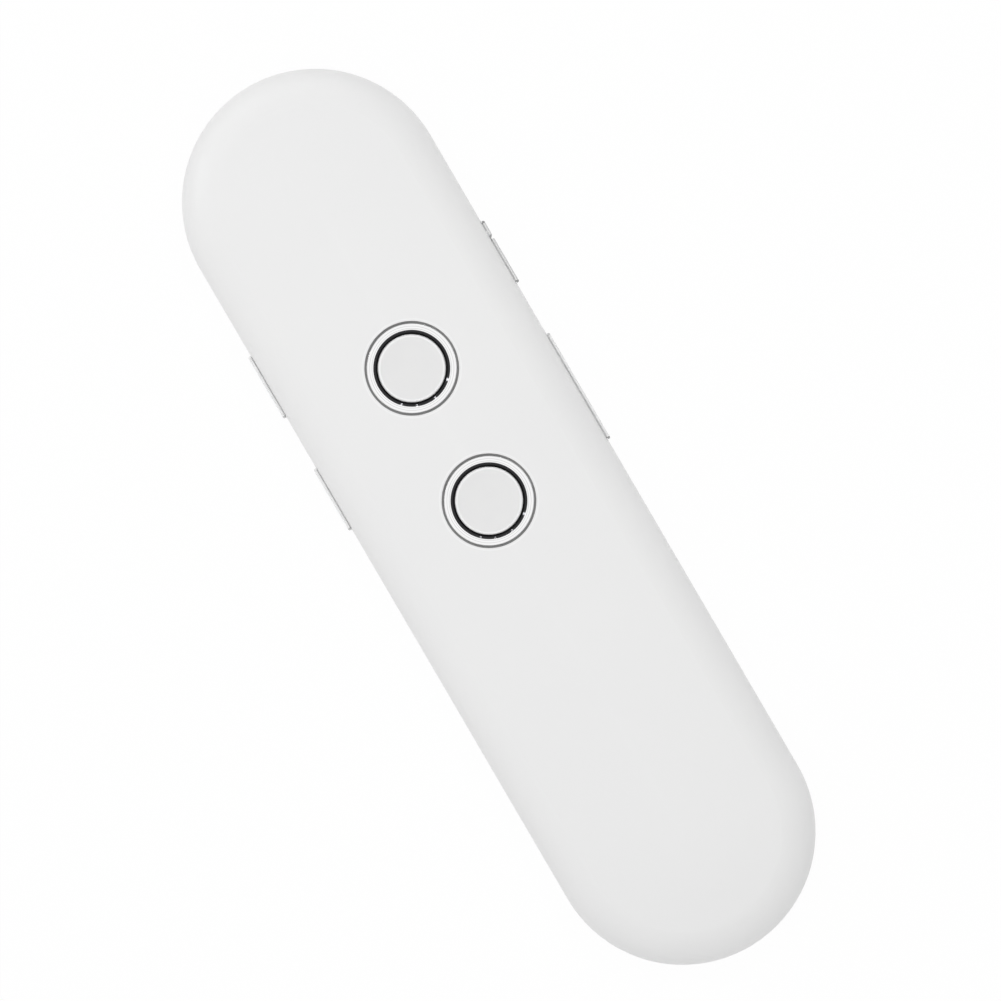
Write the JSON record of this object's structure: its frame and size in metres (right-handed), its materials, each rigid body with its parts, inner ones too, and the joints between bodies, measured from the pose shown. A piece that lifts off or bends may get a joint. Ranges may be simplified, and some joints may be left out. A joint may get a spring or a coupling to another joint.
{
  "type": "handheld voice translator",
  "caption": "Stick-shaped handheld voice translator with round front keys in bright bezels, side keys, a volume rocker and a hinged port cover.",
  "frame": {"origin": "centre of the bounding box at the rear (resting) face, with the device lying on its back", "axes": "+Z out of the front face, +Y along the length towards the upper microphone end, +X towards the side with the port cover and volume rocker"},
  "size_m": [0.0388, 0.142, 0.013],
  "materials": {
    "white_casing": "fine satin moulded ABS, white",
    "white_keys": "satin to semi-gloss white",
    "port_white": "satin pale grey-white",
    "bezel_chrome": "bright plated face, dark polished bevel",
    "steel": "zinc-plated steel",
    "socket_steel": "tinned sheet",
    "contact_gold": "gold-plated contacts",
    "board_green": "solder-masked glass-fibre board",
    "chip_black": "moulded epoxy",
    "module_tin": "tinned lid",
    "switch_black": "black moulded switch body",
    "plunger_white": "natural nylon",
    "plug_white": "natural nylon connector",
    "battery_foil": "laminate pouch",
    "foam_black": "closed-cell foam",
    "mesh_black": "woven acoustic mesh",
    "speaker_black": "black moulded basket",
    "cone_film": "thin translucent film",
    "rubber_grey": "soft white-grey silicone",
    "capsule": "aluminium capsule can",
    "wire_red": "red PVC insulation",
    "wire_black": "black PVC insulation"
  },
  "bodies": {
    "casing": {"antenna_chip": "contact_gold", "audio_chip": "chip_black", "battery_cell": "battery_foil", "battery_guard_board": "board_green", "battery_header": "plug_white", "battery_lead_black": "wire_black", "battery_lead_red": "wire_red", "battery_pad": "foam_black", "battery_plug": "plug_white", "board_screws": "steel", "case_screws": "steel", "charger_chip": "chip_black", "crystal": "module_tin", "front_shell": "white_casing", "lower_key_ring": "bezel_chrome", "lower_key_switch": "switch_black", "lower_microphone": "capsule", "lower_microphone_boot": "rubber_grey", "lower_microphone_leads": "wire_black", "main_board": "board_green", "memory_chip": "chip_black", "mode_key_switch": "switch_black", "port_cover_pin": "steel", "port_frame": "port_white", "power_key_switch": "switch_black", "processor_chip": "chip_black", "radio_module": "module_tin", "rear_shell": "white_casing", "screw_plugs": "rubber_grey", "shield_can": "socket_steel", "speaker_cone": "cone_film", "speaker_frame": "speaker_black", "speaker_gasket": "foam_black", "speaker_lead_black": "wire_black", "speaker_lead_red": "wire_red", "speaker_magnet": "steel", "speaker_mesh": "mesh_black", "upper_key_ring": "bezel_chrome", "upper_key_switch": "switch_black", "upper_microphone": "capsule", "upper_microphone_boot": "rubber_grey", "upper_microphone_leads": "wire_black", "usb_contacts": "contact_gold", "usb_socket": "socket_steel", "usb_tongue": "chip_black", "volume_down_switch": "switch_black", "volume_up_switch": "switch_black"},
    "upper_key": {"upper_key_cap": "white_keys", "upper_key_plunger": "plunger_white"},
    "lower_key": {"lower_key_cap": "white_keys", "lower_key_plunger": "plunger_white"},
    "power_key": {"power_key": "white_keys", "power_key_plunger": "plunger_white"},
    "mode_key": {"mode_key": "white_keys", "mode_key_plunger": "plunger_white"},
    "volume_rocker": {"volume_rocker": "white_keys"},
    "volume_up_plunger": {"volume_up_plunger": "plunger_white"},
    "volume_down_plunger": {"volume_down_plunger": "plunger_white"},
    "port_cover": {"port_cover": "port_white"}
  },
  "joints": [
    {"name": "upper_key_press", "type": "slide", "parent": "casing", "child": "upper_key", "axis": [0, 0, -1], "range_m": [0, 0.0003], "stiffness_N_per_m": 2000},
    {"name": "lower_key_press", "type": "slide", "parent": "casing", "child": "lower_key", "axis": [0, 0, -1], "range_m": [0, 0.0003], "stiffness_N_per_m": 2000},
    {"name": "power_key_press", "type": "slide", "parent": "casing", "child": "power_key", "axis": [1, 0, 0], "range_m": [0, 0.0003], "stiffness_N_per_m": 2000},
    {"name": "mode_key_press", "type": "slide", "parent": "casing", "child": "mode_key", "axis": [1, 0, 0], "range_m": [0, 0.0003], "stiffness_N_per_m": 2000},
    {"name": "volume_rocker_tilt", "type": "hinge", "parent": "casing", "child": "volume_rocker", "pos_m": [0.0163, 0.0105, 0.0061], "axis": [0, 0, 1], "range_deg": [-2, 2], "stiffness_Nm_per_rad": 0.12},
    {"name": "volume_up_plunger_slide", "type": "slide", "parent": "casing", "child": "volume_up_plunger", "axis": [1, 0, 0], "range_m": [-0.0002, 0.0002]},
    {"name": "volume_down_plunger_slide", "type": "slide", "parent": "casing", "child": "volume_down_plunger", "axis": [1, 0, 0], "range_m": [-0.0002, 0.0002]},
    {"name": "port_cover_hinge", "type": "hinge", "parent": "casing", "child": "port_cover", "pos_m": [0.01875, 0.0356, 0.0061], "axis": [0, 0, 1], "range_deg": [0, 90]}
  ],
  "couplings": [
    {"joint": "volume_up_plunger_slide", "follows": "volume_rocker_tilt", "m_per_rad": -0.0055},
    {"joint": "volume_down_plunger_slide", "follows": "volume_rocker_tilt", "m_per_rad": 0.0055}
  ]
}
